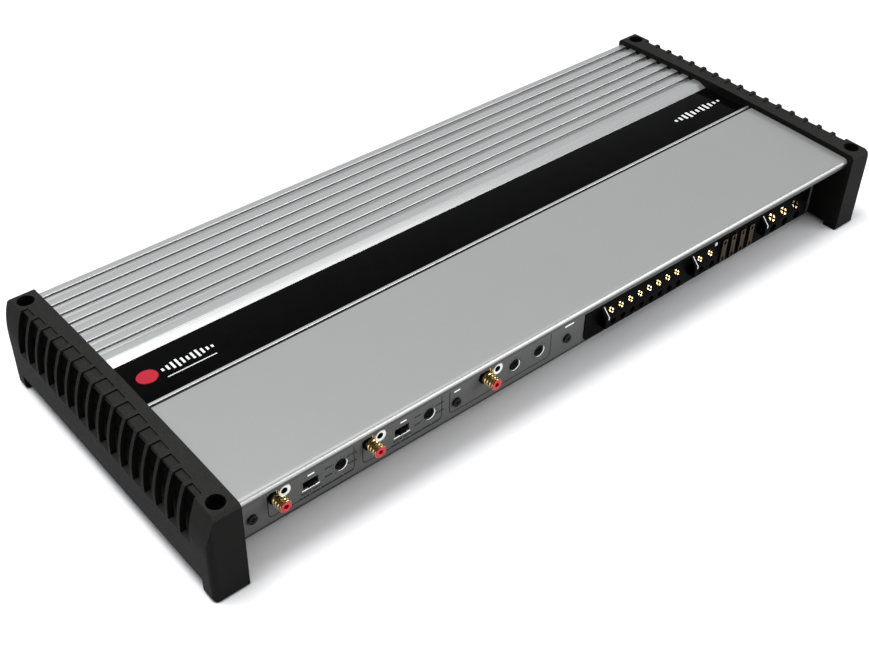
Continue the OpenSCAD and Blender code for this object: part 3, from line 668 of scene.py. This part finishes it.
def panel_captions():
    """Rows of tiny dark bars of uneven length where the panel carries its small print."""
    bm = bmesh.new()
    rows = [(x - 8.5, x + 30.0, 9.4) for x in SWITCHES]
    rows += [(x - 7.0, x + 7.5, 12.2) for x in SWITCHES]
    rows += [(knob.x + 5.0, knob.x + 11.0, z) for knob in CROSSOVERS for z in (16.2, 22.6)]
    rows += [(knob.x - 11.5, knob.x - 7.0, z) for knob in CROSSOVERS for z in (16.2, 22.6)]
    lengths = (1.5, 0.8, 1.1, 0.6, 1.3, 0.9)
    for x0, x1, z in rows:
        x, k = x0, 0
        while x < x1:
            width = lengths[k % len(lengths)]
            add_bar(bm, x, x + width, z - 0.55, z + 0.55)
            x += width + (1.5 if k % 5 == 4 else 0.35)
            k += 1
    return place(to_object("panel_captions", bm), PRINT_DARK)


def panel_labels():
    """Plain light bars where the panel's captions stand, and lines below the switch windows."""
    bm = bmesh.new()
    captions = [(x, 4.8, 25.1) for x in (-203.1, -134.7, -91.9)]
    captions.append((5.5, 8.0, 26.6))
    captions += [(knob.x, 9, 48.6) for knob in LEVELS]
    for x, width, z in captions:
        add_bar(bm, x - width / 2, x + width / 2, z - 0.55, z + 0.55)
    for x in SWITCHES:
        add_box(bm, (x - 6.3, PANEL_FACE - 0.05, 14.3), (x + 6.3, PANEL_FACE + 0.02, 15.25))
    return place(to_object("panel_labels", bm), PRINT_AND_HIGHLIGHT_WHITE)


def knob_hole_highlights():
    """Painted highlights: white crescents at the lower right of each knob hole."""
    bm = bmesh.new()
    radius, shift, count = 4.3, 0.55, 36
    angles = [math.radians(-126 + 160 * k / count) for k in range(count + 1)]
    for knob in KNOBS:
        rings = []
        for dx, y in ((0, -0.05), (shift, -0.05), (shift, 0.02), (0, 0.02)):
            centre_x, centre_z = knob.x + dx * 1.15, knob.z - dx
            rings.append([
                bm.verts.new(((centre_x + radius * math.cos(a)) * MM, (PANEL_FACE + y) * MM,
                              (centre_z + radius * math.sin(a)) * MM))
                for a in angles
            ])
        for k in range(count):
            for a in range(4):
                b = (a + 1) % 4
                bm.faces.new((rings[a][k], rings[a][k + 1], rings[b][k + 1], rings[b][k]))
        for k in (0, count):
            bm.faces.new([ring[k] for ring in rings])
    return place(to_object("knob_hole_highlights", bm), PRINT_AND_HIGHLIGHT_WHITE)


def terminal_seats():
    """Each terminal screw's head radius, and its seat on the block's slope with +Z along the slope's normal."""
    slope = Matrix.Rotation(math.radians(45), 4, "X")
    for node, first, pitch, count, radius in TERMINALS:
        lo, hi = box_mm(node)
        for i in range(count):
            middle = Vector((first + i * pitch, lo.y + SLOPE / 2, hi.z - SLOPE / 2)) * MM
            yield radius, Matrix.Translation(middle) @ slope


def screw_rims():
    """Dark collars round the terminal screws' heads."""
    bm = bmesh.new()
    for r, seat in terminal_seats():
        lathe(bm, [(r * 0.80, 0.1), (r * 0.80, 0.24), (r + 0.15, 0.24), (r + 0.15, 0.1)], seat, 32)
    obj = to_object("screw_rims", bm)
    smooth(obj, 40)
    return place(obj, LOOKS["terminal_black"])


def block_markers():
    """White lines down the slope and face of each terminal block, at its left end."""
    bm = bmesh.new()
    for (node, *_), shift in zip(TERMINALS, (2.8, 2.5, 2.5)):
        lo, hi = box_mm(node)
        x, foot = lo.x + shift, hi.z - SLOPE
        middle = Vector((x, lo.y + SLOPE / 2, hi.z - SLOPE / 2)) * MM
        matrix = Matrix.Translation(middle) @ Matrix.Rotation(math.radians(45), 4, "X")
        matrix = matrix @ Matrix.Diagonal((0.7 * MM, SLOPE * 1.40 * MM, 0.12 * MM, 1))
        bmesh.ops.create_cube(bm, size=1, matrix=matrix)
        add_box(bm, (x - 0.35, lo.y - 0.03, foot - 2.2), (x + 0.35, lo.y + 0.02, foot))
    return place(to_object("block_markers", bm), PRINT_AND_HIGHLIGHT_WHITE)


def screw_recess_shades():
    """Painted shade: black plates on the floors of the terminal screws' crossed recesses."""
    bm = bmesh.new()
    for r, seat in terminal_seats():
        floor = seat @ Matrix.Translation((0, 0, -0.04 * MM))
        for turn in (45, 135):
            arm = floor @ Matrix.Rotation(math.radians(turn), 4, "Z")
            arm = arm @ Matrix.Diagonal((r * 1.70 * MM, r * 0.46 * MM, 0.5 * MM, 1))
            bmesh.ops.create_cube(bm, size=1, matrix=arm)
    return place(to_object("screw_recess_shades", bm), SHADE_BLACK)


def facing_back(x, y, z):
    """A turning axis at (x, y, z) millimetres that points from the connector side to the back."""
    return Matrix.Translation(Vector((x, y, z)) * MM) @ Matrix.Rotation(-math.pi / 2, 4, "X")


def jack_bore_shades():
    """Painted shade: black discs in the mouths of the upper jacks, a little off centre towards the upper left.
    """
    bm = bmesh.new()
    front = box_mm("rca_white_inserts")[0].y
    offset = 0.55
    for x in JACKS:
        seat = facing_back(x - offset, front, JACK_ROWS[1] + offset)
        lathe(bm, [(0.001, -0.03), (2.15, -0.03), (2.15, 0.05), (0.001, 0.05)], seat, 32)
    return place(to_object("jack_bore_shades", bm), SHADE_BLACK)


def rca_shells():
    """Gold sleeves with a rolled front lip, two ridges and a collar."""
    bm = bmesh.new()
    lo, hi = box_mm("rca_shells")
    length = hi.y - lo.y
    bore, neck, ridge, lip = 3.31, 3.72, 4.1, 4.15
    profile = [
        (bore, 0), (4.0, 0), (lip, 0.15), (lip, 0.9), (neck, 1.35), (neck, 2.1), (ridge, 2.5), (ridge, 3.3),
        (neck, 3.75), (neck, 4.5), (ridge, 4.9), (ridge, 5.7), (neck, 6.15), (neck, 6.7), (lip, 7.1),
        (lip, 9.25), (3.85, 9.3), (3.85, length), (bore, length),
    ]
    for x in JACKS:
        for z in JACK_ROWS:
            lathe(bm, profile, facing_back(x, lo.y, z), 48)
    obj = to_object("rca_shells_turned", bm)
    smooth(obj, 30)
    return place(obj, LOOKS["gold_plate"], ["rca_shells"])


# -------------------------------------------------------------------- stage
def stage():
    """A plain pale floor under the object."""
    floor = bpy.data.meshes.new("floor")
    size, thick = 6.0, 0.02
    slab = Matrix.Translation((0, 0, -thick / 2)) @ Matrix.Diagonal((size, size, thick, 1))
    bm = bmesh.new()
    bmesh.ops.create_cube(bm, size=1, matrix=slab)
    bm.to_mesh(floor)
    bm.free()
    obj = bpy.data.objects.new("floor", floor)
    bpy.context.scene.collection.objects.link(obj)
    shader = Shader("floor_white", (0.78, 0.78, 0.79), 0.9, Specular_IOR_Level=0.1)
    shader.tint(shader.spread(shader.noise(3, detail=2), 0.0, 0.2), (0.76, 0.76, 0.77))
    floor.materials.append(shader.material)


def area_light(name, location, target, size, power):
    """A rectangular light of `size` metres at location, turned to target."""
    data = bpy.data.lights.new(name, "AREA")
    data.shape = "RECTANGLE"
    data.size, data.size_y = size
    data.energy = power
    obj = bpy.data.objects.new(name, data)
    obj.location = location
    obj.rotation_mode = "QUATERNION"
    obj.rotation_quaternion = (Vector(target) - Vector(location)).to_track_quat("-Z", "Y")
    bpy.context.scene.collection.objects.link(obj)


def lights():
    """A soft ceiling, a key behind the body, a fill at the front, and a sky brighter behind and above."""
    area_light("overhead", (-0.10, -0.45, 1.6), (-0.10, -0.45, 0), (2.2, 1.1), 10.5)
    area_light("key", (-0.50, 0.16, 1.95), (0, 0, 0.03), (0.8, 0.8), 41)
    area_light("front", (0.98, -1.58, 0.62), (0, -0.1, 0.05), (1.5, 0.85), 24)
    world = bpy.data.worlds.new("studio")
    bpy.context.scene.world = world
    world.use_nodes = True
    tree = world.node_tree
    tree.nodes["Background"].inputs["Color"].default_value = (0.95, 0.97, 1.0, 1)
    direction = tree.nodes.new("ShaderNodeTexCoord").outputs["Generated"]
    along = tree.nodes.new("ShaderNodeVectorMath")
    along.operation = "DOT_PRODUCT"
    along.inputs[1].default_value = (0.0, 0.55, 0.85)
    tree.links.new(direction, along.inputs[0])
    sky = tree.nodes.new("ShaderNodeMapRange")
    sky.inputs["From Min"].default_value = 0.05
    sky.inputs["From Max"].default_value = 0.70
    sky.inputs["To Min"].default_value = 0.05
    sky.inputs["To Max"].default_value = 0.68
    tree.links.new(along.outputs["Value"], sky.inputs["Value"])
    tree.links.new(sky.outputs["Result"], tree.nodes["Background"].inputs["Strength"])


def camera():
    """A 53 mm lens from the front left, a little over half a metre up."""
    azimuth, elevation, roll = map(math.radians, (-40.73, 39.63, 1.08))
    level = math.cos(elevation)
    back = Vector((math.sin(azimuth) * level, -math.cos(azimuth) * level, math.sin(elevation)))
    right = Vector((math.cos(azimuth), math.sin(azimuth), 0))
    up = back.cross(right)
    tilted_right = math.cos(roll) * right + math.sin(roll) * up
    tilted_up = -math.sin(roll) * right + math.cos(roll) * up
    data = bpy.data.cameras.new("camera")
    data.sensor_width = 36
    data.lens = 53.34
    data.shift_x = 0.00602
    data.shift_y = -0.00944
    data.clip_start = 0.01
    obj = bpy.data.objects.new("camera", data)
    bpy.context.scene.collection.objects.link(obj)
    rotation = Matrix((tilted_right, tilted_up, back)).transposed().to_4x4()
    obj.matrix_world = Matrix.Translation((-0.4862, -0.5202, 0.5661)) @ rotation
    bpy.context.scene.camera = obj


# ----------------------------------------------------------------- assembly
camera()
lights()
stage()
bpy.context.scene.view_settings.view_transform = "Standard"

for name, node in frame["nodes"].items():
    node.data.materials.clear()
    node.data.materials.append(LOOKS[SLOT_OF[name]])

heatsink()
top_cover()
vent_shade_sheets()
vent_shades()
trim_strip()
trim_badge()
strip_marks()
panel_print()
panel_captions()
panel_labels()
knob_hole_highlights()
screw_rims()
block_markers()
screw_recess_shades()
jack_bore_shades()
rca_shells()

REFINED = {  # edge radius in millimetres and its segments
    "left_end_cap": (0.55, 3), "right_end_cap": (0.55, 3),
    "connector_panel": (0.12, 2), "bottom_plate": (0.3, 2),
    "bottom_screws": (0.15, 2), "panel_screws": (0.25, 3), "end_cap_screws": (0.25, 2),
    "terminal_plate": (0.15, 2),
    "rca_housings": (0.3, 2), "rca_red_inserts": (0.25, 3), "rca_white_inserts": (0.25, 3),
    "switch_bodies": (0.15, 2), "switch_slider_1": (0.12, 2), "switch_slider_2": (0.12, 2),
    "pot_bodies": (0.15, 2),
}
for kind, edge in (("block", (0.25, 2)), ("screws", (0.55, 3)), ("cages", (0.15, 2))):
    for group in ("speaker", "sub", "power"):
        REFINED[f"{group}_terminal_{kind}"] = edge
REFINED["power_terminal_screws"] = (0.8, 3)
REFINED["fuse_holder"] = (0.2, 2)
REFINED["led_lens"] = (0.3, 3)
REFINED["fuse_clips"] = (0.1, 1)
for i in range(1, 5):
    REFINED[f"fuse_body_{i}"] = (0.3, 3)
    REFINED[f"fuse_blades_{i}"] = (0.1, 2)
for name in frame["nodes"]:
    if "_knob_" in name:
        REFINED[name] = (0.2, 3)
for name, (width, segments) in REFINED.items():
    refine(name, width, segments)
